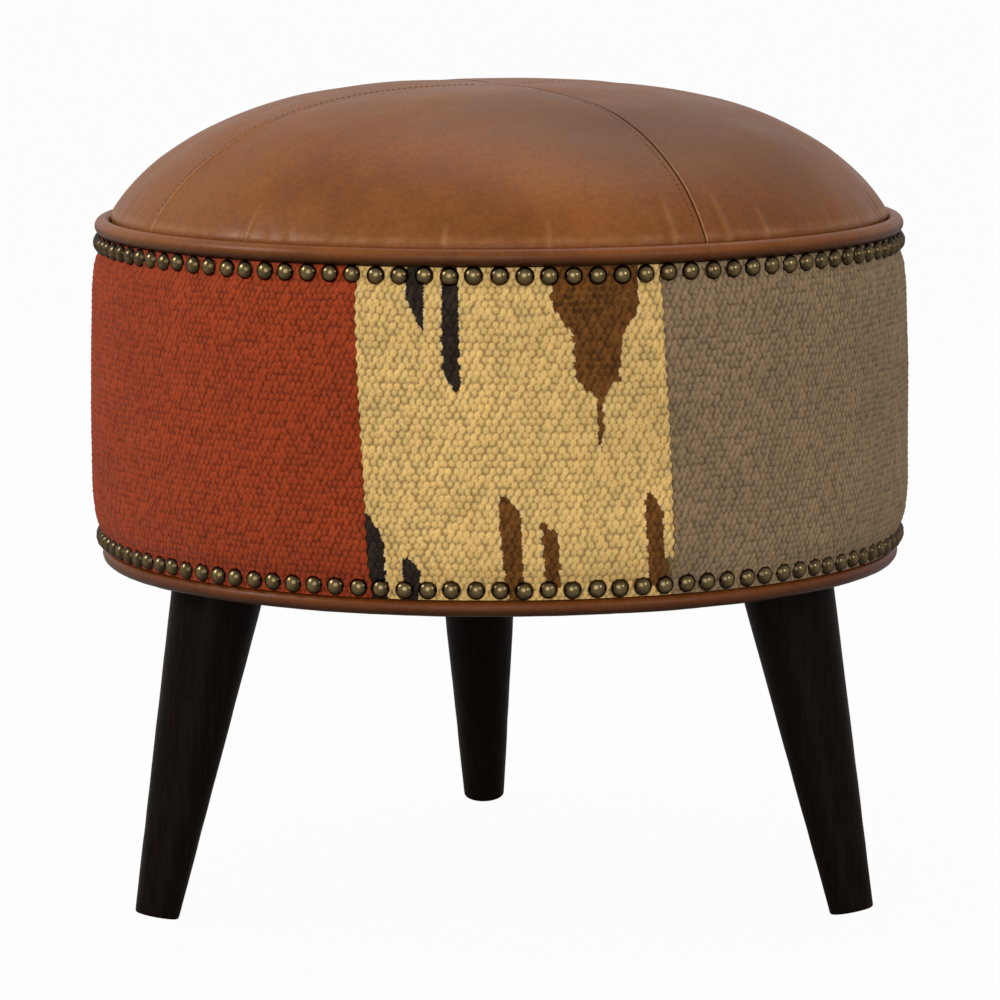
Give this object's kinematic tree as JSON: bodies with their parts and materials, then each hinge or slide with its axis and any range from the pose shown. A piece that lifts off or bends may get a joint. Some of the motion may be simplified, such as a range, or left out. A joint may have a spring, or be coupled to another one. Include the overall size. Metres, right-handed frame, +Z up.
{
  "type": "kilim and leather footstool",
  "caption": "Round footstool with a domed leather top, woven kilim side, brass nail trim and splayed tapered wooden legs.",
  "frame": {"origin": "floor level under the middle of the object's box", "axes": "+Z up, -Y towards the front (between the two front legs), +X to the right as seen from the front"},
  "size_m": [0.4679, 0.471, 0.4605],
  "materials": {
    "leather": "waxed tan hide, softly glossy, mottled",
    "piping": "waxed tan hide, tighter and glossier",
    "cord": "twisted cotton",
    "kilim_rust": "matt flat-woven wool, rust red",
    "kilim_straw": "matt flat-woven wool, straw yellow with dark motifs",
    "kilim_taupe": "matt flat-woven wool, grey brown",
    "kilim_indigo": "matt flat-woven wool, dark blue",
    "kilim_wheat": "matt flat-woven wool, wheat",
    "kilim_umber": "matt flat-woven wool, dark brown",
    "aged_brass": "antiqued, polished on the crowns",
    "dark_wood": "near-black brown stain under satin lacquer",
    "plywood": "raw",
    "softwood": "raw",
    "hardboard": "raw",
    "foam": "open-cell foam",
    "wadding": "loose polyester wadding",
    "dust_cloth": "black non-woven",
    "zinc_steel": "zinc plated"
  },
  "bodies": {
    "root": {"base_board": "plywood", "dome_foam": "foam", "dome_wadding": "wadding", "drum_wall": "hardboard", "dust_cover": "dust_cloth", "hanger_bolt_left": "zinc_steel", "hanger_bolt_rear": "zinc_steel", "hanger_bolt_right": "zinc_steel", "kilim_indigo": "kilim_indigo", "kilim_rust": "kilim_rust", "kilim_straw": "kilim_straw", "kilim_taupe": "kilim_taupe", "kilim_umber": "kilim_umber", "kilim_wheat": "kilim_wheat", "leather_gore_1": "leather", "leather_gore_2": "leather", "leather_gore_3": "leather", "leather_gore_4": "leather", "leg_left": "dark_wood", "leg_plate_left": "zinc_steel", "leg_plate_rear": "zinc_steel", "leg_plate_right": "zinc_steel", "leg_rear": "dark_wood", "leg_right": "dark_wood", "nail_row_bottom": "aged_brass", "nail_row_top": "aged_brass", "piping_bottom_cord": "cord", "piping_bottom_leather": "piping", "piping_top_cord": "cord", "piping_top_leather": "piping", "screw_left_1": "zinc_steel", "screw_left_2": "zinc_steel", "screw_left_3": "zinc_steel", "screw_left_4": "zinc_steel", "screw_rear_1": "zinc_steel", "screw_rear_2": "zinc_steel", "screw_rear_3": "zinc_steel", "screw_rear_4": "zinc_steel", "screw_right_1": "zinc_steel", "screw_right_2": "zinc_steel", "screw_right_3": "zinc_steel", "screw_right_4": "zinc_steel", "seat_deck": "plywood", "side_foam": "foam", "upright_1": "softwood", "upright_2": "softwood", "upright_3": "softwood", "upright_4": "softwood", "upright_5": "softwood", "upright_6": "softwood"}
  },
  "joints": []
}
